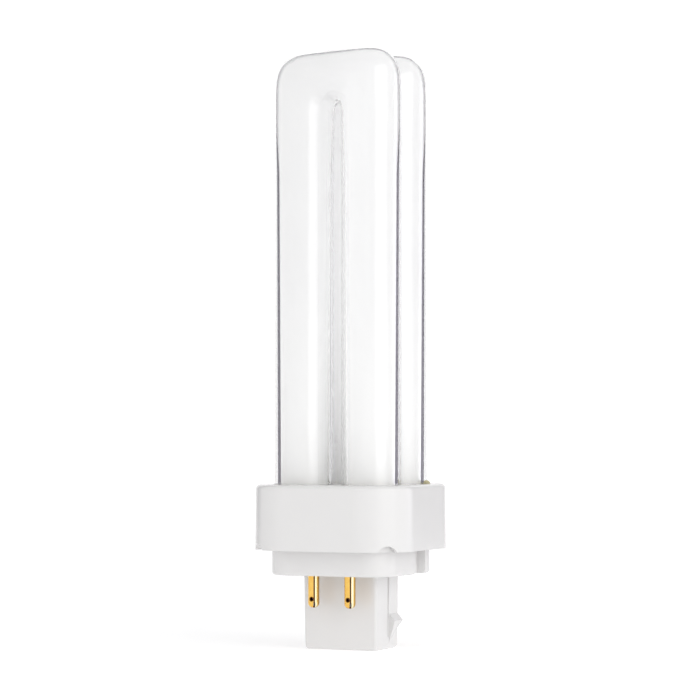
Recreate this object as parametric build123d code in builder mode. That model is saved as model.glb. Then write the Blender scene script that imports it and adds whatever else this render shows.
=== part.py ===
from build123d import *
from math import cos, radians, sin, tan
import os

# Pin base compact fluorescent lamp with two parallel U tubes and a four-pin plug-in base.
# The frame: the origin is the middle of the face that seats on the holder, the underside of
# the flange. +Z runs up the lamp axis to the bends of the glass, X lies along the broad face
# of the guide post and along each U, and -Y is the front. All sizes are in millimetres.

# Glass discharge tube
tube_od = 12.8
leg_gap = 3.0
u_gap = 1.6
glass_height = 94.3
crest_fall = 1.2
shoulder_extra = 0.1
rounding_land = 0.05
bridge_od = 8.0
bridge_height = 9.0
bridge_blend = 0.5
dome_radius = 5.0
exhaust_tip_base = 3.2
exhaust_tip_length = 3.0
exhaust_tip_taper = 16.0
press_height = 3.6
pinch_width = 10.4
pinch_thickness = 3.2
pinch_corner = 1.2
pinch_height = 2.0
pinch_clearance = 0.8

# Collar that carries the glass
collar_height = 14.0
collar_land = 3.45
collar_corner = 10.0
collar_wall = 1.6
collar_plate = 1.8
collar_draft = 0.5
collar_top_round = 1.0
sleeve_wall = 1.2
sleeve_length = 4.5
cement_gap = 0.35
notch_width = 4.3
notch_height = 1.3
rest_rib_width = 3.0
rest_rib_depth = 1.7

# Base body: flange, rim inside the collar and guide post
flange_height = 5.4
flange_corner = 5.5
flange_edge_round = 0.6
rim_thickness = 2.2
rim_ledge = 2.1
rim_clearance = 0.15
floor_thickness = 2.0
flange_wall = 2.8
cavity_corner = 3.4
key_slot_depth = 1.8
key_slot_width = 5.4
key_slot_start = 2.0
post_width = 17.4
post_depth = 12.3
post_length = 16.2
post_corner = 0.8
post_edge_round = 0.8
post_wall = 1.5
post_draft = 1.0
post_groove_width = 1.0
post_groove_depth = 0.4
post_groove_length = 13.5

# Latch ridges on the narrow faces of the post
ridge_height = 1.3
ridge_top = 8.6
ridge_peak = 10.1
ridge_end_outer = 12.1
ridge_end_inner = 15.0
ridge_root = 0.8

# Contact pins, rolled from thin brass sheet
pin_diameter = 2.4
pin_length = 6.9
pin_wall = 0.35
pin_pitch = 8.5
pin_stand_off = 2.9
pin_clearance = 0.02
pin_tip_round = 1.0
pin_shoulder_width = 0.4
pin_shoulder_height = 0.4
pin_top = 1.2
pin_boss_width = 1.2
pin_boss_height = 1.2
pin_pocket_clearance = 0.2
pin_seam_width = 0.2
pin_seam_turn = 30.0
pin_hole_diameter = 0.8
pin_hole_height = 1.85
pin_slot_width = 0.4
pin_slot_height = 1.1

# Lead wires from the electrodes to the pins
wire_diameter = 0.6
wire_spread = 4.0
wire_drop = 1.6
wire_bend = 0.9

# Cement that holds the legs in the collar
cement_fit = 0.03
cement_recess = 0.4
cement_bead_radius = 0.9
cement_bead_rise = 0.1

# Levels, counted up from the seat face
collar_base_z = flange_height
collar_top_z = collar_base_z + collar_height
rim_top_z = flange_height + rim_thickness
pinch_base_z = rim_top_z + pinch_clearance
foot_z = pinch_base_z + pinch_height + press_height
crest_z = collar_top_z + glass_height
bridge_z = collar_top_z + bridge_height
plate_z = collar_top_z - collar_plate
sleeve_z = plate_z - sleeve_length
boss_z = floor_thickness + pin_boss_height

# Leg places and the sizes that follow from the glass
tube_radius = tube_od / 2
leg_x = (tube_od + leg_gap) / 2
leg_y = (tube_od + u_gap) / 2
bore_radius = tube_radius + cement_gap
collar_half = leg_x + bore_radius + collar_land
collar_inner_half = collar_half - collar_wall
rim_half = collar_inner_half - rim_clearance
flange_half = rim_half - rim_ledge
cavity_half = flange_half - flange_wall
pin_radius = pin_diameter / 2
post_lean = post_length * tan(radians(post_draft))
post_face_x = post_width / 2 - post_lean * ridge_top / post_length
post_end_x = post_width / 2 - post_lean
pin_x = pin_pitch / 2
pin_y = post_depth / 2 + pin_stand_off + pin_radius

leg_places = [(-leg_x, -leg_y), (leg_x, -leg_y), (-leg_x, leg_y), (leg_x, leg_y)]
pin_places = [(-pin_x, -pin_y), (pin_x, -pin_y), (-pin_x, pin_y), (pin_x, pin_y)]

os.makedirs("parts", exist_ok=True)


def save(piece, name):
    """Label one finished piece and write it under its own name."""
    piece.part.label = name
    export_step(piece.part, f"parts/{name}.step")


def facing_down(height):
    """A plane at the given height that looks down, with X kept to the right."""
    return Plane(origin=(0, 0, height), x_dir=(1, 0, 0), z_dir=(0, 0, -1))


# Glass discharge tube: two U tubes with squared shoulders, joined by a short bridge
with BuildPart() as discharge_tube:
    outer_x = leg_x + tube_radius
    crotch_z = crest_z - crest_fall / 2 - tube_od
    with BuildSketch(Plane.XZ.offset(leg_y - tube_radius)) as u_outline:
        with BuildLine():
            Polyline(
                (-outer_x, foot_z),
                (-outer_x, crest_z - crest_fall),
                (outer_x, crest_z),
                (outer_x, foot_z),
                (leg_gap / 2, foot_z),
                (leg_gap / 2, crotch_z),
                (-leg_gap / 2, crotch_z),
                (-leg_gap / 2, foot_z),
                close=True,
            )
        make_face()
        shoulders = u_outline.vertices().group_by(Axis.Y)[-2] + u_outline.vertices().group_by(Axis.Y)[-1]
        fillet(shoulders, tube_radius + shoulder_extra)
        crotch = [v for v in u_outline.vertices() if abs(v.Y - crotch_z) < rounding_land]
        fillet(crotch, leg_gap / 2 - rounding_land)
    extrude(amount=tube_od)
    rims = [
        edge
        for edge in discharge_tube.edges()
        if edge.center().Z > foot_z + rounding_land
        and abs(abs(edge.center().Y + leg_y) - tube_radius) < rounding_land
    ]
    fillet(rims, tube_radius - rounding_land)

    # The leg under the far end of the crest is closed by a dome, the other by a pinch seal
    dome_rim = discharge_tube.faces().filter_by(Axis.Z).sort_by(Axis.X)[0].edges()
    fillet(dome_rim, dome_radius)
    pinch_seat = Plane.XY.offset(foot_z)
    with BuildSketch(pinch_seat):
        with Locations((leg_x, -leg_y)):
            Circle(tube_radius - rounding_land)
    with BuildSketch(pinch_seat.offset(-press_height)) as pinch_outline:
        with Locations((leg_x, -leg_y)):
            RectangleRounded(pinch_width, pinch_thickness, pinch_corner)
    loft()
    extrude(pinch_outline.sketch, amount=-pinch_height)
    mirror(about=Plane.XZ)

    # The bridge runs between the two domed legs, just above the collar
    with BuildSketch(Plane.XZ):
        with Locations((-leg_x, bridge_z)):
            Circle(bridge_od / 2)
    extrude(amount=leg_y, both=True)
    bridge_seams = [
        edge
        for edge in discharge_tube.edges()
        if abs(edge.center().Z - bridge_z) < bridge_od / 2
        and abs(edge.center().X + leg_x) < bridge_od / 2
        and abs(edge.center().Y) < leg_y
        and edge.geom_type != GeomType.LINE
    ]
    fillet(bridge_seams, bridge_blend)

    # The tip where the glass was pumped out and closed
    with BuildSketch(facing_down(foot_z)):
        with Locations((-leg_x, leg_y)):
            Circle(exhaust_tip_base / 2)
    extrude(amount=exhaust_tip_length, taper=exhaust_tip_taper)
save(discharge_tube, "discharge_tube")


# Collar: a thin-walled cap with four leg sleeves, open below
with BuildPart() as collar:
    with BuildSketch(Plane.XY.offset(collar_base_z)):
        RectangleRounded(2 * collar_half, 2 * collar_half, collar_corner)
    extrude(amount=collar_height, taper=collar_draft)
    fillet(collar.faces().sort_by(Axis.Z)[-1].outer_wire().edges(), collar_top_round)
    with BuildSketch(Plane.XY.offset(collar_base_z)):
        RectangleRounded(2 * collar_inner_half, 2 * collar_inner_half, collar_corner - collar_wall)
    extrude(amount=collar_height - collar_plate, mode=Mode.SUBTRACT)

    # Sleeves round the legs and ribs that rest on the rim of the base body
    with BuildSketch(Plane.XY.offset(sleeve_z)):
        with Locations(*leg_places):
            Circle(bore_radius + sleeve_wall)
    extrude(amount=sleeve_length + collar_plate / 2)
    with BuildSketch(Plane.XY.offset(rim_top_z)):
        with PolarLocations(collar_inner_half - rest_rib_depth / 2, 4):
            Rectangle(rest_rib_depth + rim_clearance, rest_rib_width)
    extrude(amount=plate_z - rim_top_z + collar_plate / 2)
    with BuildSketch(Plane.XY.offset(sleeve_z)):
        with Locations(*leg_places):
            Circle(bore_radius)
    extrude(amount=collar_top_z - sleeve_z, mode=Mode.SUBTRACT)

    # An arched notch in the lower edge at each corner
    notch_radius = ((notch_width / 2) ** 2 + notch_height**2) / (2 * notch_height)
    for corner_turn in (45, 135, 225, 315):
        turn = radians(corner_turn)
        across = Plane(origin=(0, 0, 0), x_dir=(-sin(turn), cos(turn), 0), z_dir=(cos(turn), sin(turn), 0))
        corner_reach = (collar_half - collar_corner) * 2**0.5 + collar_corner
        with BuildSketch(across.offset(corner_reach - 1.5 * collar_wall)):
            with Locations((0, collar_base_z + notch_height - notch_radius)):
                Circle(notch_radius)
        extrude(amount=3 * collar_wall, mode=Mode.SUBTRACT)
save(collar, "collar")


# Base body: flange, rim and hollow guide post in one moulding
with BuildPart() as base_body:
    with BuildSketch(Plane.XY):
        RectangleRounded(2 * flange_half, 2 * flange_half, flange_corner)
    extrude(amount=flange_height)
    fillet(base_body.faces().sort_by(Axis.Z)[0].outer_wire().edges(), flange_edge_round)
    with BuildSketch(Plane.XY.offset(flange_height)):
        RectangleRounded(2 * rim_half, 2 * rim_half, collar_corner - collar_wall - rim_clearance)
    extrude(amount=rim_thickness)
    with BuildSketch(facing_down(floor_thickness / 2)) as post_section:
        RectangleRounded(post_width, post_depth, post_corner)
    extrude(amount=post_length + floor_thickness / 2, taper=post_draft)
    fillet(base_body.faces().sort_by(Axis.Z)[0].outer_wire().edges(), post_edge_round)

    # The cavity for the leads, the bosses for the pins and the hollow of the post
    with BuildSketch(Plane.XY.offset(floor_thickness)):
        RectangleRounded(2 * cavity_half, 2 * cavity_half, cavity_corner)
    extrude(amount=rim_top_z - floor_thickness, mode=Mode.SUBTRACT)
    with BuildSketch(Plane.XY.offset(floor_thickness / 2)):
        with Locations(*pin_places):
            Circle(pin_radius + pin_boss_width)
    extrude(amount=boss_z - floor_thickness / 2)
    with BuildSketch(facing_down(floor_thickness)):
        Rectangle(post_width - 2 * post_wall, post_depth - 2 * post_wall)
    extrude(amount=post_length + floor_thickness - post_wall, taper=post_draft, mode=Mode.SUBTRACT)
    with BuildSketch(Plane.XY):
        with Locations(*pin_places):
            Circle(pin_radius + pin_clearance)
    extrude(amount=boss_z, mode=Mode.SUBTRACT)
    with BuildSketch(Plane.XY.offset(boss_z)):
        with Locations(*pin_places):
            Circle(pin_radius + pin_shoulder_width + pin_pocket_clearance)
    extrude(amount=rim_top_z - boss_z, mode=Mode.SUBTRACT)

    # The key slot in the right-hand face of the flange
    with BuildSketch(Plane.XY):
        with Locations((flange_half - key_slot_depth / 2, key_slot_start + key_slot_width / 2)):
            Rectangle(key_slot_depth, key_slot_width)
    extrude(amount=flange_height, mode=Mode.SUBTRACT)

    # A groove down each narrow face, and behind it a latch ridge whose lower ramp twists
    for side in (-1, 1):
        with BuildSketch(Plane.XY.offset(-post_groove_length)):
            with Locations((side * post_width / 2, post_groove_width / 4)):
                Rectangle(2 * post_groove_depth, post_groove_width)
        extrude(amount=post_groove_length, mode=Mode.SUBTRACT)
        ridge_sections = (
            (post_groove_width, ridge_end_inner),
            (post_depth / 2 - post_corner, ridge_end_outer),
        )
        for place_y, ridge_end in ridge_sections:
            with BuildSketch(Plane.XZ.offset(-place_y)):
                with BuildLine():
                    Polyline(
                        (side * (post_width / 2 - ridge_root), -ridge_top),
                        (side * post_face_x, -ridge_top),
                        (side * (post_face_x + ridge_height), -ridge_peak),
                        (side * post_end_x, -ridge_end),
                        (side * (post_width / 2 - ridge_root), -ridge_end),
                        close=True,
                    )
                make_face()
        loft(ruled=True)
save(base_body, "base_body")


# Contact pins: rolled tubes with a closed round tip, a seam, a side hole and a shoulder
def upright_plane(place_x, place_y, turn):
    """An upright plane through a pin's axis, at its tip, that looks outwards at the given turn."""
    angle = radians(turn)
    along = (-sin(angle), cos(angle), 0)
    return Plane(origin=(place_x, place_y, -pin_length), x_dir=along, z_dir=(cos(angle), sin(angle), 0))


def contact_pin(place_x, place_y):
    """One pin at its place, with its side hole turned away from the post."""
    outward = -90 if place_y < 0 else 90
    shoulder_z = pin_length + boss_z
    tip = Plane(origin=(place_x, place_y, -pin_length))
    seam_face = upright_plane(place_x, place_y, outward + pin_seam_turn)
    with BuildPart() as pin:
        with BuildSketch(tip):
            Circle(pin_radius)
        extrude(amount=shoulder_z + pin_top)
        fillet(pin.faces().sort_by(Axis.Z)[0].edges(), pin_tip_round)
        with BuildSketch(tip.offset(shoulder_z)):
            Circle(pin_radius + pin_shoulder_width)
        extrude(amount=pin_shoulder_height)
        with BuildSketch(tip.offset(pin_wall)):
            Circle(pin_radius - pin_wall)
        extrude(amount=shoulder_z + pin_top, mode=Mode.SUBTRACT)

        # The seam runs the whole length and opens into a slot at the tip
        with BuildSketch(seam_face):
            with Locations((0, (shoulder_z + pin_top) / 2)):
                Rectangle(pin_seam_width, shoulder_z + pin_top)
            with Locations((0, pin_slot_height / 2)):
                Rectangle(pin_slot_width, pin_slot_height)
        extrude(amount=pin_diameter, mode=Mode.SUBTRACT)
        with BuildSketch(upright_plane(place_x, place_y, outward)):
            with Locations((0, pin_hole_height)):
                Circle(pin_hole_diameter / 2)
        extrude(amount=pin_diameter, mode=Mode.SUBTRACT)
    return pin


for number, (place_x, place_y) in enumerate(pin_places, start=1):
    save(contact_pin(place_x, place_y), f"contact_pin_{number}")


# Lead wires: from each pinch seal down, across and into the bore of its own pin
for number, (place_x, place_y) in enumerate(pin_places, start=1):
    side_y = leg_y if place_y > 0 else -leg_y
    start_x = leg_x + (wire_spread / 2 if place_x > 0 else -wire_spread / 2)
    run_z = pinch_base_z - wire_drop
    with BuildPart() as lead_wire:
        with BuildLine() as route:
            FilletPolyline(
                (start_x, side_y, pinch_base_z),
                (start_x, side_y, run_z),
                (place_x, place_y, run_z),
                (place_x, place_y, pin_wall - pin_length),
                radius=wire_bend,
            )
        with BuildSketch(facing_down(pinch_base_z)):
            with Locations((start_x, -side_y)):
                Circle(wire_diameter / 2)
        sweep()
    save(lead_wire, f"lead_wire_{number}")


# Cement: a ring in the gap round each leg, with one bead squeezed out beside the last
for number, (place_x, place_y) in enumerate(leg_places, start=1):
    beaded = number == len(leg_places)
    ring_top = collar_top_z if beaded else collar_top_z - cement_recess
    with BuildPart() as leg_cement:
        with BuildSketch(Plane.XY.offset(sleeve_z)):
            with Locations((place_x, place_y)):
                Circle(bore_radius)
                Circle(tube_radius + cement_fit, mode=Mode.SUBTRACT)
        extrude(amount=ring_top - sleeve_z)
        if beaded:
            with Locations((place_x + bore_radius, place_y, collar_top_z - cement_bead_rise)):
                Sphere(cement_bead_radius)
            with BuildSketch(Plane.XY.offset(collar_top_z)):
                Rectangle(4 * collar_half, 4 * collar_half)
                with Locations((place_x, place_y)):
                    Circle(bore_radius, mode=Mode.SUBTRACT)
            extrude(amount=-cement_bead_radius - cement_bead_rise, mode=Mode.SUBTRACT)
            with BuildSketch(Plane.XY.offset(sleeve_z)):
                with Locations((place_x, place_y)):
                    Circle(tube_radius + cement_fit)
            extrude(amount=2 * collar_height, mode=Mode.SUBTRACT)
    save(leg_cement, f"leg_cement_{number}")
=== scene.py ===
# %% [markdown]
# # A plug-in fluorescent lamp
#
# The lamp is two U tubes of clear glass, white inside with powder, cemented into a square
# collar over a keyed plug-in base. The solids of the collar, base, pins, wires and cement come
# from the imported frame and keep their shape. Blender gives every surface its finish, and it
# remakes the glass, because a sealed solid can't show that the white powder lies behind a wall
# of clear glass.

# %% The frame and its box
import math

import bmesh
import bpy
from mathutils import Matrix, Vector


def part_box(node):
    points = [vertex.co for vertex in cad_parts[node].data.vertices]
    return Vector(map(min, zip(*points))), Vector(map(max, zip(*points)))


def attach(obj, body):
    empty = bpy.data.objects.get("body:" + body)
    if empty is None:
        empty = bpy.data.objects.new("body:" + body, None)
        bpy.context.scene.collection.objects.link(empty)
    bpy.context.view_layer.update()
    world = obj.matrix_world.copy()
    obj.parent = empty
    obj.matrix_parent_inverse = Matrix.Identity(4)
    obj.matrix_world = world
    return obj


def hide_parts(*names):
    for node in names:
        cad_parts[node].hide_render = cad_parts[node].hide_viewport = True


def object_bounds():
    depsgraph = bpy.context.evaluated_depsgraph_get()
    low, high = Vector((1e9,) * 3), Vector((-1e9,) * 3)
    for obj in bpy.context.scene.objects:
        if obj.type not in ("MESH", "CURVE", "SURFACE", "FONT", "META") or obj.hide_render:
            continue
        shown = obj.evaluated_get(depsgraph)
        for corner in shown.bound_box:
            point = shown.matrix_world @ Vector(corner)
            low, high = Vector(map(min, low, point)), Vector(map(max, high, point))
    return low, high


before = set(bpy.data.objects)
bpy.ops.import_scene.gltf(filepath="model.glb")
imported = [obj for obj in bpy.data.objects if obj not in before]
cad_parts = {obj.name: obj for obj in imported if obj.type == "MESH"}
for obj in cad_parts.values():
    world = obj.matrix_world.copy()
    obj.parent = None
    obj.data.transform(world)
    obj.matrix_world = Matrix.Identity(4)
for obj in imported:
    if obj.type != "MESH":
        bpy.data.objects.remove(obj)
cad_low, cad_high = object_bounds()
MM = 0.001
print("nodes:", ", ".join(sorted(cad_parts)))
print("CAD box, mm:", [round(v / MM, 2) for v in (*cad_low, *cad_high)])

# %% [markdown]
# ## The camera
#
# Small products are photographed with a long lens, so that upright edges stay upright. The
# lamp is seen a little from its right, from some way above the collar, with the lens tilted up
# slightly so that the whole tube is in the frame. A tilt is used and not a shift of the lens,
# because a tilt also holds when the camera goes round to another side.

# %% Camera
VIEW_TURN = math.radians(24.0)
VIEW_DISTANCE = 600 * MM
EYE_HEIGHT = 33.3 * MM
VIEW_TILT = math.radians(1.45)
VIEW_PAN = math.radians(0.027)
LENS = 141.9

camera_data = bpy.data.cameras.new("product_camera")
camera_data.sensor_width = 36
camera_data.lens = LENS
camera_data.clip_start = 0.01
camera = bpy.data.objects.new("product_camera", camera_data)
bpy.context.scene.collection.objects.link(camera)
bpy.context.scene.camera = camera
back = Vector((math.sin(VIEW_TURN), -math.cos(VIEW_TURN), 0))
camera.location = back * VIEW_DISTANCE + Vector((0, 0, EYE_HEIGHT))
camera.rotation_euler = (math.pi / 2 + VIEW_TILT, 0, VIEW_TURN + VIEW_PAN)
print("camera at, mm:", [round(v / MM, 1) for v in camera.location])

# %% [markdown]
# ## Shader maths as plain sums
#
# A material is a net of nodes, and its sums are easier to read as sums. Signal wraps one
# socket: adding or multiplying two signals makes the Math node that does it. The last four
# methods limit a value or make a mask, a number that says where on a piece something holds.


# %% Signal
class Signal:
    """One value in a material, which can be added, taken away, multiplied or raised."""

    def __init__(self, finish, socket):
        self.finish = finish
        self.socket = socket

    def sum_with(self, operation, first, second):
        return self.finish.node("ShaderNodeMath", {"operation": operation}, {0: first, 1: second})

    def __add__(self, other):
        return self.sum_with("ADD", self, other)

    def __radd__(self, other):
        return self.sum_with("ADD", other, self)

    def __sub__(self, other):
        return self.sum_with("SUBTRACT", self, other)

    def __rsub__(self, other):
        return self.sum_with("SUBTRACT", other, self)

    def __mul__(self, other):
        return self.sum_with("MULTIPLY", self, other)

    def __rmul__(self, other):
        return self.sum_with("MULTIPLY", other, self)

    def __pow__(self, other):
        return self.sum_with("POWER", self, other)

    def __or__(self, other):
        """The greater of the two."""
        return self.sum_with("MAXIMUM", self, other)

    def op(self, operation):
        """A Math node of one input, such as ABSOLUTE or SIGN."""
        return self.finish.node("ShaderNodeMath", {"operation": operation}, {0: self})

    def at_most(self, limit):
        return self.sum_with("MINIMUM", self, limit)

    def limited(self):
        """The value kept between 0 and 1."""
        return (self | 0.0).at_most(1.0)

    def under(self, limit, fade):
        """1 below the limit and 0 above it, with a soft edge that is as wide as fade."""
        return ((limit - self) * (1 / fade)).limited()

    def over(self, limit, fade):
        """1 above the limit and 0 below it, with a soft edge that is as wide as fade."""
        return ((self - limit) * (1 / fade)).limited()


print("Signal ready")

# %% [markdown]
# ## One maker for every node
#
# Finish holds one material, or the nodes of a world or a lamp. Its method node makes any kind
# of node: the options are set first and then the sockets, because some options change which
# sockets there are. The other methods only give names to what this lamp uses often.


# %% Finish
class Finish:
    """One material, built node by node."""

    def __init__(self, name):
        self.material = bpy.data.materials.new(name)
        self.material.use_nodes = True
        self.tree = self.material.node_tree
        self.tree.nodes.clear()

    @classmethod
    def on_tree(cls, tree):
        """The same helper on the nodes of a world or a lamp."""
        made = cls.__new__(cls)
        made.tree = tree
        tree.nodes.clear()
        return made

    def node(self, kind, settings=None, sockets=None, out=0):
        """Make a node: its options first, then its sockets from numbers, colours or signals."""
        made = self.tree.nodes.new(kind)
        for key, value in (settings or {}).items():
            setattr(made, key, value)
        for key, value in (sockets or {}).items():
            if isinstance(value, Signal):
                self.tree.links.new(value.socket, made.inputs[key])
            else:
                made.inputs[key].default_value = value
        return Signal(self, made.outputs[out]) if made.outputs else None

    def own_place(self):
        """The object's own coordinates, in metres."""
        return self.node("ShaderNodeTexCoord", out="Object")

    def part(self, vector, axis):
        """The X, Y or Z of a vector."""
        return self.node("ShaderNodeSeparateXYZ", {}, {0: vector}, out=axis)

    def noise(self, size, detail=3.0, rough=0.5, stretch=(1.0, 1.0, 1.0)):
        """Soft cloudy variation from 0 to 1 with features of the given size in metres."""
        place = self.node("ShaderNodeMapping", {}, {"Vector": self.own_place(), "Scale": stretch})
        sockets = {"Vector": place, "Scale": 1 / size, "Detail": detail, "Roughness": rough}
        return self.node("ShaderNodeTexNoise", {"noise_dimensions": "3D"}, sockets)

    def blend(self, amount, first, second):
        """One colour turning into another as amount goes from 0 to 1."""
        first, second = (c if isinstance(c, Signal) else (*c, 1.0) for c in (first, second))
        return self.node("ShaderNodeMix", {"data_type": "RGBA"}, {0: amount, 6: first, 7: second}, out=2)

    def bump(self, height, strength, distance):
        sockets = {"Height": height, "Strength": strength, "Distance": distance}
        return self.node("ShaderNodeBump", {}, sockets)

    def ray(self, kind):
        """1 for rays of the named kind, such as Is Camera Ray, and 0 for all others."""
        return self.node("ShaderNodeLightPath", out=kind)

    def white_light(self, kind, strength):
        """An emission or background of plain white."""
        return self.node(kind, {}, {"Color": (1.0, 1.0, 1.0, 1.0), "Strength": strength})

    def principled(self, **sockets):
        """The Principled shader, with its sockets given by name."""
        named = {key.replace("_", " "): value for key, value in sockets.items()}
        return self.node("ShaderNodeBsdfPrincipled", {}, named)

    def mix(self, share, first, second):
        """Two shaders in one, where share is the part that the second takes."""
        return self.node("ShaderNodeMixShader", {}, {0: share, 1: first, 2: second})

    def done(self, shader):
        """Give the shader to the material's output and hand the material back."""
        self.node("ShaderNodeOutputMaterial", {}, {"Surface": shader})
        return self.material


print("Finish ready")

# %% [markdown]
# ## From operators to an object
#
# Every new piece is shaped as a bmesh and then made an object that sits at the origin, unturned
# and unscaled, with its place in its mesh. Patterns on the object's own coordinates then stay
# where they are on the piece.


# %% Finished objects
def finish_mesh(bm, name, smooth=True):
    """Turn a bmesh into an object at the origin, with its faces smooth or flat."""
    mesh = bpy.data.meshes.new(name)
    bm.to_mesh(mesh)
    bm.free()
    for polygon in mesh.polygons:
        polygon.use_smooth = smooth
    made = bpy.data.objects.new(name, mesh)
    bpy.context.scene.collection.objects.link(made)
    print(f"{name}: {len(mesh.polygons)} faces")
    return made


# %% [markdown]
# ## The white sweep
#
# The photograph's ground is plain white with nothing on it. A white sweep, flat in front and
# curved up behind, gives that ground. Its profile is drawn as a chain of edges and pulled
# sideways in one step. It is lit a little from below, as a light table is, which brightens the
# underside of the collar and the lower part of the post and leaves only a trace of shadow. The
# camera alone sees it slightly brighter, so that the ground is white without more light on the
# lamp.

# %% Sweep
FLOOR = cad_low.z
SWEEP_WIDTH = 2.6
SWEEP_FRONT = -1.6
CURVE_START = 0.7
CURVE_RADIUS = 0.5
CURVE_STEPS = 12
SWEEP_TALL = 1.6
TABLE_WHITE = (0.90, 0.90, 0.90, 1.0)
LIGHT_FROM_BELOW = 0.28
CAMERA_GLOW = 0.03

profile = [Vector((0, SWEEP_FRONT, FLOOR)), Vector((0, CURVE_START, FLOOR))]
for step in range(1, CURVE_STEPS + 1):
    turn = math.radians(90 * step / CURVE_STEPS)
    rise = CURVE_RADIUS * (1 - math.cos(turn))
    profile.append(Vector((0, CURVE_START + CURVE_RADIUS * math.sin(turn), FLOOR + rise)))
profile.append(Vector((0, CURVE_START + CURVE_RADIUS, FLOOR + SWEEP_TALL)))
sweep_bm = bmesh.new()
rim = [sweep_bm.verts.new(point - Vector((SWEEP_WIDTH / 2, 0, 0))) for point in profile]
edges = [sweep_bm.edges.new(pair) for pair in zip(rim, rim[1:])]
pulled = bmesh.ops.extrude_edge_only(sweep_bm, edges=edges)
moved = [g for g in pulled["geom"] if isinstance(g, bmesh.types.BMVert)]
bmesh.ops.translate(sweep_bm, vec=(SWEEP_WIDTH, 0, 0), verts=moved)
bmesh.ops.recalc_face_normals(sweep_bm, faces=sweep_bm.faces)
to_view = Matrix.Rotation(VIEW_TURN, 3, "Z")
bmesh.ops.rotate(sweep_bm, cent=(0, 0, 0), matrix=to_view, verts=sweep_bm.verts)
sweep = finish_mesh(sweep_bm, "white_sweep")

ground = Finish("sweep_white")
lit = ground.node("ShaderNodeBsdfDiffuse", {}, {"Color": TABLE_WHITE})
from_below = ground.white_light("ShaderNodeEmission", LIGHT_FROM_BELOW)
table = ground.node("ShaderNodeAddShader", {}, {0: lit, 1: from_below})
glow = ground.white_light("ShaderNodeEmission", CAMERA_GLOW)
seen = ground.node("ShaderNodeAddShader", {}, {0: table, 1: glow})
sweep.data.materials.append(ground.done(ground.mix(ground.ray("Is Camera Ray"), table, seen)))

# %% [markdown]
# ## Light from all round
#
# White things on white need soft light from every side. The world gives it: brightest at the
# horizon and dimmer overhead, so that the top of each piece is a shade darker than its sides,
# as in the photograph. The camera sees the world as plain white.

# %% World
HORIZON = 1.11
ZENITH = 0.72

world = bpy.data.worlds.new("soft_room")
world.use_nodes = True
bpy.context.scene.world = world
air = Finish.on_tree(world.node_tree)
upward = air.part(air.node("ShaderNodeTexCoord", out="Generated"), "Z")
room = air.white_light("ShaderNodeBackground", HORIZON - (HORIZON - ZENITH) * upward.limited())
white = air.white_light("ShaderNodeBackground", 1.0)
air.node("ShaderNodeOutputWorld", {}, {"Surface": air.mix(air.ray("Is Camera Ray"), room, white)})
print("world from", HORIZON, "at the horizon to", ZENITH, "overhead")

# %% [markdown]
# ## Two soft boxes
#
# The world alone would leave the glass without a streak. A tall soft box to the right of the
# camera draws the long white streak down each tube and lights the near corner of the collar. A
# real soft box is dimmer towards its edges, and this one is too, so that the streak has soft
# sides. A weak bluish one stands further round and cools the right-hand side a little.

# %% Soft boxes
FADE_ACROSS = 6.0
FADE_ALONG = 12.0
AIM = Vector((0, 0, 0.05))


def soft_box(name, turn, distance, height, width, tall, power, colour=(1.0, 1.0, 1.0)):
    """An area lamp that looks at the lamp from the given turn round it and fades at its edges."""
    data = bpy.data.lights.new(name, "AREA")
    data.shape = "RECTANGLE"
    data.size = width
    data.size_y = tall
    data.energy = power
    data.color = colour
    data.use_nodes = True
    cloth = Finish.on_tree(data.node_tree)
    place = cloth.node("ShaderNodeNewGeometry", out="Parametric")
    across, along = cloth.part(place, "X"), cloth.part(place, "Y")
    side_fade = (across * (1 - across) * FADE_ACROSS).limited()
    end_fade = (along * (1 - along) * FADE_ALONG).limited()
    shine = cloth.white_light("ShaderNodeEmission", side_fade * end_fade)
    cloth.node("ShaderNodeOutputLight", {}, {"Surface": shine})
    made = bpy.data.objects.new(name, data)
    bpy.context.scene.collection.objects.link(made)
    made.location = Vector((math.sin(turn) * distance, -math.cos(turn) * distance, height))
    made.rotation_mode = "QUATERNION"
    made.rotation_quaternion = (AIM - made.location).to_track_quat("-Z", "Y")
    print(f"{name}: {power} W")


key_turn = VIEW_TURN + math.radians(39)
soft_box("key_box", key_turn, distance=1.0, height=0.36, width=1.10, tall=0.95, power=4.2)
cool_turn = VIEW_TURN + math.radians(112)
cool = (0.80, 0.78, 1.0)
soft_box("cool_box", cool_turn, distance=0.9, height=0.10, width=0.4, tall=0.5, power=0.5, colour=cool)

# %% [markdown]
# ## Dark cards
#
# Clear glass on white has no edge of its own. Photographers give it one with dark cards just out
# of view: the thick rim of a tube bends the view so far sideways that it shows the card and not
# the background. Two cards behind the lamp, one on each side, draw the thin dark lines down the
# tubes, and one high behind it draws the grey line over the bends.

# %% Dark cards
CARD_AWAY = 0.62
CARD_TURN = math.radians(46)
SIDE_CARD = (0.28, 0.9)
TOP_CARD = (0.7, 0.22)
TOP_CARD_LIFT = math.radians(48)

card = Finish("card_grey")
card_finish = card.done(card.principled(Base_Color=(0.10, 0.09, 0.12, 1.0), Roughness=0.9))


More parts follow.
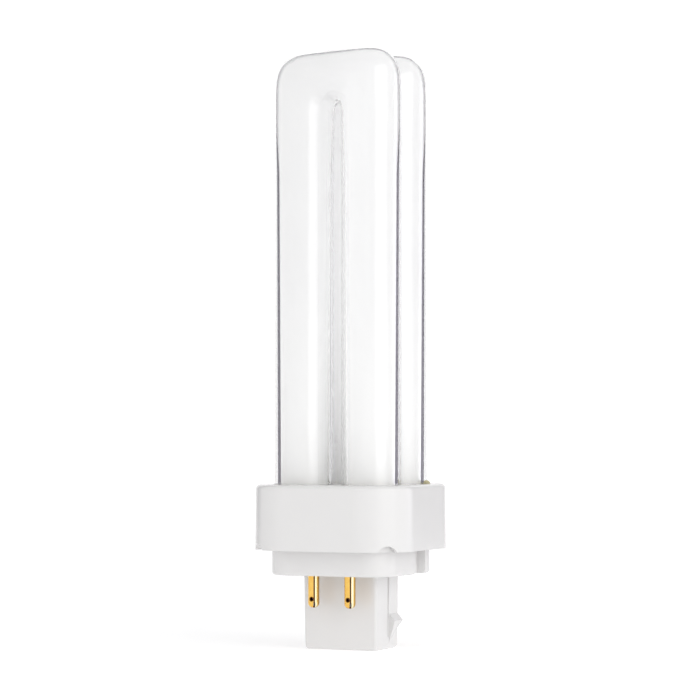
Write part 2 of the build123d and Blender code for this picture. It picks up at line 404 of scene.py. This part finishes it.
def dark_card(name, turn, size, height, lift=0.0):
    """A matt dark card that faces the lamp, turned round it and lifted above it."""
    bm = bmesh.new()
    bmesh.ops.create_grid(bm, x_segments=1, y_segments=1, size=0.5)
    bmesh.ops.scale(bm, vec=(*size, 1), verts=bm.verts)
    stand = Matrix.Rotation(math.pi / 2, 3, "X")
    bmesh.ops.rotate(bm, cent=(0, 0, 0), matrix=stand, verts=bm.verts)
    bmesh.ops.translate(bm, vec=(0, -CARD_AWAY, 0), verts=bm.verts)
    raise_up = Matrix.Rotation(-lift, 3, "X")
    bmesh.ops.rotate(bm, cent=(0, 0, 0), matrix=raise_up, verts=bm.verts)
    bmesh.ops.rotate(bm, cent=(0, 0, 0), matrix=Matrix.Rotation(turn, 3, "Z"), verts=bm.verts)
    bmesh.ops.translate(bm, vec=(0, 0, height), verts=bm.verts)
    made = finish_mesh(bm, name, smooth=False)
    made.data.materials.append(card_finish)


behind = VIEW_TURN + math.pi
dark_card("left_card", behind + CARD_TURN, SIDE_CARD, SIDE_CARD[1] / 2 + FLOOR)
dark_card("right_card", behind - CARD_TURN, SIDE_CARD, SIDE_CARD[1] / 2 + FLOOR)
dark_card("top_card", behind, TOP_CARD, 0.1, lift=TOP_CARD_LIFT)

# %% [markdown]
# ## How far light is followed
#
# Light that gets in between the tubes bounces many times from white to white before it comes
# out. If Cycles stops following it too early, the gaps turn grey, so it is let go further here.
# Colours are shown as they are written, with the Standard view.

# %% View and bounces
bpy.context.scene.view_settings.view_transform = "Standard"
bpy.context.scene.cycles.max_bounces = 32
bpy.context.scene.cycles.diffuse_bounces = 16
bpy.context.scene.cycles.transmission_bounces = 32
print("bounces:", bpy.context.scene.cycles.max_bounces)

# %% [markdown]
# ## The bent glass tube
#
# Each U starts as one straight tube. It is heated, bent in half and pressed in a mould while
# soft, which squares its shoulders and flattens its crest. The wall comes out thinner where it
# was blown into the mould and thicker towards the foot. All its sizes are set here, and its
# place comes from the box of the solid that it replaces.

# %% Sizes of the glass
glass_low, glass_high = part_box("discharge_tube")
TUBE = 6.4 * MM
WALL = 0.9 * MM
AIR = 0.05 * MM
LEG_X = glass_high.x - TUBE
LEG_Y = glass_high.y - TUBE
FOOT = glass_low.z + 5.6 * MM
DOME = 5 * MM
CREST_FALL = 1.2 * MM
CROTCH_RISE = 1.5 * MM
GAP = 2 * (LEG_X - TUBE)
SHOULDER = TUBE + 0.1 * MM
BEND_Z = glass_high.z - 2 * TUBE - GAP / 2 - CREST_FALL / 4
RING_POINTS = 96
BEND_STEPS = 60
THIN_SHARE = 0.38
THIN_RUN = 14 * MM
THIN_STEPS = 12
FOOT_WALL = 0.45 * MM
EDGE_RUN = 1.0 * MM
print("legs at, mm:", round(LEG_X / MM, 2), round(LEG_Y / MM, 2), "bend from", round(BEND_Z / MM, 2))

# %% [markdown]
# ## Pulling a ring along
#
# A tube can be drawn like real glass: a ring of edges is pulled on step by step, and each step
# may widen, narrow or flatten it. Extrude makes the new ring and the faces between, and the
# helper hands back the new ring's edges, ready for the next pull.


# %% Drawing a ring
def draw_ring(bm, edges, move, stretch=None, centre=None):
    """Pull a ring of edges on by one step and return the new ring's edges."""
    made = bmesh.ops.extrude_edge_only(bm, edges=edges)
    verts = [g for g in made["geom"] if isinstance(g, bmesh.types.BMVert)]
    bmesh.ops.translate(bm, vec=move, verts=verts)
    if stretch:
        away = Matrix.Translation(-centre - move)
        bmesh.ops.scale(bm, vec=stretch, space=away, verts=verts)
    wanted = set(verts)
    return [g for g in made["geom"] if isinstance(g, bmesh.types.BMEdge) and set(g.verts) <= wanted]


print("ring points:", RING_POINTS)

# %% [markdown]
# ## Pressing and thinning the bend
#
# Spin gives a plain round bend. To square it, each point is pushed away from the middle of the
# bend on to a curve between a circle and a square, the outside fully and the inside hardly at
# all, which is how the mould works on the glass. The crest falls slightly to the left, and the
# crotch is pulled up a little. The thinning moves only the inside skins, along their normals.


# %% Press and wall
def press_square(bm, radius, verts):
    """Push a plain round bend out to a squared arch, the outside most, and lift the crotch."""
    reach = LEG_X + radius
    corner = SHOULDER - (TUBE - radius)
    share = ((reach - corner) * math.sqrt(2) + corner) / (reach * math.sqrt(2))
    power = -1 / math.log2(share)
    for vert in verts:
        across, up = vert.co.x, vert.co.z - BEND_Z
        if up <= 0:
            continue
        distance = math.hypot(across, up)
        cos_turn, sin_turn = across / distance, up / distance
        top = reach + CREST_FALL / 2 * cos_turn
        arch = ((abs(cos_turn) / reach) ** power + (sin_turn / top) ** power) ** (-1 / power)
        outward = (distance - (LEG_X - radius)) / (2 * radius)
        push = (arch - reach) * outward
        vert.co.x += push * cos_turn
        vert.co.z += push * sin_turn + CROTCH_RISE * (1 - outward) * sin_turn


def thin_wall(radius, verts):
    """Make the wall thinner at the bend, where it was blown into its mould, and thicker at the foot."""
    swell = (TUBE - radius) * (1 - THIN_SHARE)
    run_start = BEND_Z - THIN_RUN
    for vert in verts:
        share = min(1.0, max(0.0, (vert.co.z - run_start) / THIN_RUN))
        low = min(1.0, max(0.0, (run_start - vert.co.z) / (run_start - FOOT)))
        vert.co += vert.normal * (swell * share * share * (3 - 2 * share) - FOOT_WALL * low)


walls = (WALL * THIN_SHARE, WALL, WALL + FOOT_WALL)
print("wall at bend, leg and foot, mm:", [round(v / MM, 2) for v in walls])

# %% [markdown]
# ## One U tube
#
# The right leg is drawn up from its foot, spun half a turn and drawn down again. Rings stand
# close together where the wall changes, and one stands just above each foot. Without that one,
# smooth shading would spread the turn of the foot's normals up the whole leg, and clear glass
# would show it as a false bend in everything behind it.


# %% A U tube
def u_tube(bm, radius, side):
    """One U of the given radius in front of (-1) or behind (1) the lamp's axis."""
    centre = Matrix.Translation((LEG_X, side * LEG_Y, FOOT))
    start = bmesh.ops.create_circle(bm, segments=RING_POINTS, radius=radius, matrix=centre)
    foot = list({edge for vert in start["verts"] for edge in vert.link_edges})
    ring = draw_ring(bm, foot, Vector((0, 0, EDGE_RUN)))
    ring = draw_ring(bm, ring, Vector((0, 0, BEND_Z - THIN_RUN - FOOT - EDGE_RUN)))
    for _ in range(THIN_STEPS):
        ring = draw_ring(bm, ring, Vector((0, 0, THIN_RUN / THIN_STEPS)))
    verts = list({vert for edge in ring for vert in edge.verts})
    bent = bmesh.ops.spin(
        bm,
        geom=verts + ring,
        cent=(0, side * LEG_Y, BEND_Z),
        axis=(0, -1, 0),
        dvec=(0, 0, 0),
        angle=math.pi,
        steps=BEND_STEPS,
        use_merge=False,
        use_duplicate=False,
    )
    press_square(bm, radius, [v for v in bm.verts if v.co.y * side > 0])
    far = [g for g in bent["geom_last"] if isinstance(g, bmesh.types.BMEdge)]
    for _ in range(THIN_STEPS):
        far = draw_ring(bm, far, Vector((0, 0, -THIN_RUN / THIN_STEPS)))
    far = draw_ring(bm, far, Vector((0, 0, FOOT + DOME + EDGE_RUN + THIN_RUN - BEND_Z)))
    far = draw_ring(bm, far, Vector((0, 0, -EDGE_RUN)))
    return foot, far


print("leg from", round(FOOT / MM, 2), "to", round(BEND_Z / MM, 2), "mm")

# %% [markdown]
# ## Domes and the pumping tip
#
# The feet are inside the collar, but the glass is closed there too. The left legs end in round
# domes: the leg's last ring is pulled down and narrowed on a quarter circle, step by step. One
# dome keeps the short tip through which the lamp was pumped out and sealed.

# %% Closing a dome
CAP_STEPS = 8
TIP_RADIUS = 1.5 * MM


def close_dome(bm, ring, radius, side, tip):
    """Round off the left leg's foot, and leave the pumping tip on one of the two."""
    axis = Vector((-LEG_X, side * LEG_Y, FOOT + DOME))
    bend = DOME - (TUBE - radius)
    flat = radius - bend
    height, width = 0.0, radius
    for step in range(1, CAP_STEPS + 1):
        turn = math.radians(90 * step / CAP_STEPS)
        drop, reach = bend * math.sin(turn), flat + bend * math.cos(turn)
        move = Vector((0, 0, height - drop))
        ring = draw_ring(bm, ring, move, (reach / width, reach / width, 1), axis - Vector((0, 0, height)))
        height, width = drop, reach
    if tip:
        axis = axis - Vector((0, 0, height))
        for share, drop in ((TIP_RADIUS / width, 0.1 * MM), (0.66, 1.5 * MM), (0.6, 1.2 * MM)):
            ring = draw_ring(bm, ring, Vector((0, 0, -drop)), (share, share, 1), axis)
            axis = axis - Vector((0, 0, drop))
    bmesh.ops.contextual_create(bm, geom=ring)


print("dome, mm:", round(DOME / MM, 2), "deep in", CAP_STEPS, "steps")

# %% [markdown]
# ## Pinch seals
#
# The right legs are softened and pressed flat round the two wires that pass through them. The
# ring is pulled down again, but its width shrinks a little and its depth a lot, on a smooth
# curve from round to flat. The outside ends in a short flat blade of solid glass.

# %% Closing a pinch seal
PINCH_OUTSIDE = (5.1 * MM, 1.55 * MM, 3.6 * MM)
PINCH_INSIDE = (4.2 * MM, 0.5 * MM, 2.6 * MM)
PINCH_BLADE = 1.98 * MM


def close_pinch(bm, ring, radius, side, solid):
    """Press the right leg's foot flat, as the glass is round the lead wires."""
    axis = Vector((LEG_X, side * LEG_Y, FOOT))
    end_x, end_y, drop = PINCH_OUTSIDE if solid else PINCH_INSIDE
    wide, thin, height = radius, radius, 0.0
    for step in range(1, CAP_STEPS + 1):
        share = (1 - math.cos(math.pi * step / CAP_STEPS)) / 2
        x_now, y_now = radius + (end_x - radius) * share, radius + (end_y - radius) * share
        down = drop * step / CAP_STEPS
        move = Vector((0, 0, height - down))
        ring = draw_ring(bm, ring, move, (x_now / wide, y_now / thin, 1), axis - Vector((0, 0, height)))
        wide, thin, height = x_now, y_now, down
    if solid:
        ring = draw_ring(bm, ring, Vector((0, 0, -PINCH_BLADE)))
    bmesh.ops.contextual_create(bm, geom=ring)


print("blade, mm:", [round(2 * v / MM, 2) for v in PINCH_OUTSIDE[:2]])

# %% [markdown]
# ## Both tubes at once
#
# The front U and the back U are made with the same steps and kept in one mesh. When all their
# feet are closed, the normals are turned outwards, and only then can the inside skins be moved
# along them to change the thickness of the wall.


# %% The closed pair
def closed_pair(radius, solid):
    """Both U tubes of one radius, closed at all four feet, with their faces outwards."""
    bm = bmesh.new()
    for side in (-1, 1):
        foot, far = u_tube(bm, radius, side)
        close_dome(bm, far, radius, side, tip=solid and side > 0)
        close_pinch(bm, foot, radius, side, solid)
    bmesh.ops.recalc_face_normals(bm, faces=bm.faces)
    bm.normal_update()
    if not solid:
        thin_wall(radius, bm.verts)
    return bm


print("gap between the legs, mm:", round(GAP / MM, 2))

# %% [markdown]
# ## Clear glass over white powder
#
# The wall of the tube is clear, and the powder lies loosely on its inside. That thin layer of
# air matters: it mirrors what comes in at a shallow angle, so the edge of each tube looks like
# empty glass, and a thin dark line shows where the white begins. The wall is a closed skin
# with a closed cavity, whose faces look into the hollow, and the coat is a third skin that
# stands a little inside it. One function makes all three, with a smaller ring each time.

# %% Glass wall and powder coat
wall_bm = closed_pair(TUBE, solid=True)
hollow_bm = closed_pair(TUBE - WALL, solid=False)
bmesh.ops.reverse_faces(hollow_bm, faces=hollow_bm.faces)
hollow_mesh = bpy.data.meshes.new("hollow")
hollow_bm.to_mesh(hollow_mesh)
hollow_bm.free()
wall_bm.from_mesh(hollow_mesh)
bpy.data.meshes.remove(hollow_mesh)
glass = finish_mesh(wall_bm, "clear_glass")
coat = finish_mesh(closed_pair(TUBE - WALL - AIR, solid=False), "powder_coat")

# %% [markdown]
# ## The bridge
#
# The left legs of the two U tubes are joined near the collar by a short neck of glass, blown
# through while both are hot. It closes the lamp's single path from one end to the other.

# %% Bridge between the left legs
BRIDGE_RADIUS = 4.0 * MM
BRIDGE_LENGTH = 3.4 * MM
BRIDGE_LIFT = 9 * MM

bridge_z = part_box("collar")[1].z + BRIDGE_LIFT
bridge_bm = bmesh.new()
bmesh.ops.create_cone(
    bridge_bm,
    cap_ends=False,
    segments=64,
    radius1=BRIDGE_RADIUS,
    radius2=BRIDGE_RADIUS,
    depth=BRIDGE_LENGTH,
    matrix=Matrix.Translation((-LEG_X, 0, bridge_z)) @ Matrix.Rotation(math.pi / 2, 4, "X"),
)
bmesh.ops.recalc_face_normals(bridge_bm, faces=bridge_bm.faces)
bridge = finish_mesh(bridge_bm, "glass_bridge")

# %% [markdown]
# ## Finish of the glass
#
# Drawn glass is never quite even, so a very weak bump, stretched along the tube, bends its
# reflections a little. Cycles would treat soft light that falls through the wall as a hard
# problem and leave the powder dark. So the wall bends what the eye sees and mirrors, and lets
# shadow and diffuse rays pass straight on, by a mix with a transparent shader.

# %% Clear glass
clear = Finish("clear_tube_glass")
ripple = clear.noise(9 * MM, detail=2.0, stretch=(1.0, 1.0, 0.12))
wall_shader = clear.principled(
    Base_Color=(1.0, 1.0, 1.0, 1.0),
    Roughness=0.0,
    IOR=1.5,
    Transmission_Weight=1.0,
    Normal=clear.bump(ripple, 0.01, 0.1 * MM),
)
open_way = clear.node("ShaderNodeBsdfTransparent", {}, {"Color": (1.0, 1.0, 1.0, 1.0)})
soft_light = clear.ray("Is Shadow Ray") | clear.ray("Is Diffuse Ray")
glass_finish = clear.done(clear.mix(soft_light, wall_shader, open_way))
glass.data.materials.append(glass_finish)
bridge.data.materials.append(glass_finish)
print("glass on", glass.name, "and", bridge.name)

# %% [markdown]
# ## Finish of the powder
#
# The powder is a matt white with a slight cloudiness and fine specks. It is so thin that part
# of the light comes through it, which keeps the gaps between the tubes bright. It lies thicker
# near the feet, where less light comes through and the tubes look greyer. A Mix Shader between
# a matt and a translucent shader does this, with a share that rises up the tube.

# %% Powder
THICK_END = 18 * MM
THINS_OVER = 45 * MM
SHARE_AT_FOOT = 0.42
SHARE_GAIN = 0.38

powder = Finish("white_powder")
cloud = powder.noise(5 * MM, detail=4.0, stretch=(1.0, 1.0, 0.5))
speck = powder.noise(0.35 * MM, detail=2.0)
mottle = (cloud * 0.6 + speck * 0.4).limited()
matt = powder.principled(
    Base_Color=powder.blend(mottle, (0.985, 0.985, 0.98), (0.995, 0.995, 0.99)),
    Roughness=0.95,
    Specular_IOR_Level=0.2,
    Normal=powder.bump(speck, 0.15, 0.05 * MM),
)
shine_through = powder.node("ShaderNodeBsdfTranslucent", {}, {"Color": (0.995, 0.995, 0.995, 1.0)})
height = powder.part(powder.own_place(), "Z")
thinner = SHARE_AT_FOOT + ((height - THICK_END) * (SHARE_GAIN / THINS_OVER)).limited()
share_through = thinner.at_most(SHARE_AT_FOOT + SHARE_GAIN)
coat.data.materials.append(powder.done(powder.mix(share_through, matt, shine_through)))

for piece in (glass, coat, bridge):
    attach(piece, "root")
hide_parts("discharge_tube")
print("light through the powder:", SHARE_AT_FOOT, "to", SHARE_AT_FOOT + SHARE_GAIN)


# %% [markdown]
# ## Finishes on the solids
#
# The other pieces keep their own meshes from the frame and only change their material. One
# helper gives a finish to every node whose name starts in the same way.

# %% Dressing a node
def dress(start, finish):
    """Give the finish to every node of the frame whose name starts with the given words."""
    for name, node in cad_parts.items():
        if name.startswith(start):
            node.data.materials.clear()
            node.data.materials.append(finish)
            print(name, "gets", finish.name)


# %% [markdown]
# ## White moulded plastic
#
# The collar and the base are moulded from the same white plastic. Its colour is all but even,
# so the finish comes from its gloss: smooth mould walls with a fine texture, a little rougher
# in patches, and a faint orange-peel ripple that softens each reflection.

# %% White moulding
moulding = Finish("white_moulding")
patch = moulding.noise(7 * MM, detail=3.0)
peel = moulding.noise(0.9 * MM, detail=2.0)
grain = moulding.noise(0.12 * MM, detail=2.0)
moulding_finish = moulding.done(moulding.principled(
    Base_Color=moulding.blend(patch, (0.705, 0.697, 0.694), (0.73, 0.722, 0.719)),
    Roughness=patch * 0.08 + 0.16,
    IOR=1.5,
    Normal=moulding.bump(peel * 0.7 + grain * 0.3, 0.10, 0.04 * MM),
))
dress("collar", moulding_finish)
dress("base_body", moulding_finish)

# %% [markdown]
# ## Where the marks on a pin are
#
# Each pin is a strip of brass rolled into a tube, with a seam down its outward side, a slot at
# its tip and a small hole where its wire is crimped. All four share one material, so the marks
# need one set of coordinates: how far a point is to the right of its own pin's axis, how far
# outward from it, and how far from the seam. The sign of X and Y tells the pins apart.

# %% Places on a pin
PIN_X = 4.25 * MM
PIN_Y = 10.25 * MM
SEAM_TURN = math.radians(30)
HOLE_Z = -5.05 * MM

brass = Finish("rolled_brass")
own = brass.own_place()
own_x, own_y, own_z = brass.part(own, "X"), brass.part(own, "Y"), brass.part(own, "Z")
facing = -1 * own_y.op("SIGN")
to_right = (own_x - own_x.op("SIGN") * PIN_X) * facing
outward = own_y.op("ABSOLUTE") - PIN_Y
spread = (to_right ** 2.0 + outward ** 2.0) ** 0.5
right_of_seam = to_right * math.cos(SEAM_TURN) - outward * math.sin(SEAM_TURN)
from_seam = right_of_seam.op("ABSOLUTE")
seam_side = to_right * math.sin(SEAM_TURN) + outward * math.cos(SEAM_TURN)
from_hole = (to_right ** 2.0 + (own_z - HOLE_Z) ** 2.0) ** 0.5
print("pins at, mm:", PIN_X / MM, PIN_Y / MM)

# %% [markdown]
# ## Brass
#
# The brass is bright, with marks from rolling that run along it and a little tarnish in clouds.
# Shade is painted into its colour: dark inside the tube, in the slot and close round the seam and
# the hole, and browner on the side away from the seam. A pale painted highlight lies in a band
# just to the right of the seam. Each of these is a mask, and the masks choose between three
# colours.

# %% Brass
streak = brass.noise(0.25 * MM, detail=3.0, stretch=(1.0, 1.0, 0.05))
tarnish = brass.noise(1.4 * MM, detail=3.0)
on_seam_side = seam_side.over(0.0, fade=0.25 * MM)
# Painted shade: masks that darken the seam, the slot, the rim of the hole, the inside of the tube and the
# side away from the seam.
seam_painted_shade = from_seam.under(0.22 * MM, fade=0.1 * MM) * on_seam_side
slot_painted_shade = from_seam.under(0.22 * MM, fade=0.025 * MM) * own_z.under(-5.6 * MM, fade=0.1 * MM)
hole_painted_shade = from_hole.under(0.585 * MM, fade=0.09 * MM) * outward.over(0.0, fade=0.5 * MM)
inside = spread.under(0.98 * MM, fade=0.05 * MM) * own_z.over(-6.5 * MM, fade=0.05 * MM)
far_side_painted_shade = right_of_seam.over(0.68 * MM, fade=0.2 * MM) * seam_side.over(0.0, fade=0.5 * MM)
# Painted highlight: a pale yellow band just to the right of the seam, on the seam's side of the pin.
highlight_band = right_of_seam.over(0.14 * MM, fade=0.1 * MM) * right_of_seam.under(0.72 * MM, fade=0.125 * MM)
painted_highlight = highlight_band * on_seam_side
# dark is the sum of the painted shade masks, which also roughens those places.
dark = (seam_painted_shade * 0.85 + hole_painted_shade * 0.9 + slot_painted_shade + inside + far_side_painted_shade * 0.5).limited()
wear = (tarnish * 0.7 + streak * 0.3).limited()
worn_colour = brass.blend(wear, (0.80, 0.40, 0.06), (0.98, 0.70, 0.20))
metal_and_highlight_colour = brass.blend(painted_highlight, worn_colour, (1.0, 0.92, 0.60))
brass_finish = brass.done(brass.principled(
    Base_Color=brass.blend(dark, metal_and_highlight_colour, (0.16, 0.04, 0.004)),
    Metallic=1.0,
    Roughness=streak * 0.12 + 0.10 + dark * 0.3,
    Normal=brass.bump(streak, 0.15, 0.02 * MM),
))
dress("contact_pin", brass_finish)

# %% [markdown]
# ## Wire and cement
#
# The lead wires are plain drawn steel, with marks along them. The cement is a gritty filler
# that is baked hard round each leg and turns olive. Only a bead of it shows from outside.

# %% Wire and cement
steel = Finish("drawn_wire")
drawn = steel.noise(0.2 * MM, detail=2.0, stretch=(1.0, 1.0, 0.1))
steel_finish = steel.done(steel.principled(
    Base_Color=steel.blend(drawn, (0.52, 0.50, 0.47), (0.68, 0.66, 0.63)),
    Metallic=1.0,
    Roughness=drawn * 0.15 + 0.3,
))
filler = Finish("baked_cement")
grit = filler.noise(0.4 * MM, detail=5.0, rough=0.65)
filler_finish = filler.done(filler.principled(
    Base_Color=filler.blend(grit, (0.30, 0.26, 0.12), (0.62, 0.57, 0.40)),
    Roughness=0.9,
    Normal=filler.bump(grit, 0.6, 0.15 * MM),
))
dress("lead_wire", steel_finish)
dress("leg_cement", filler_finish)
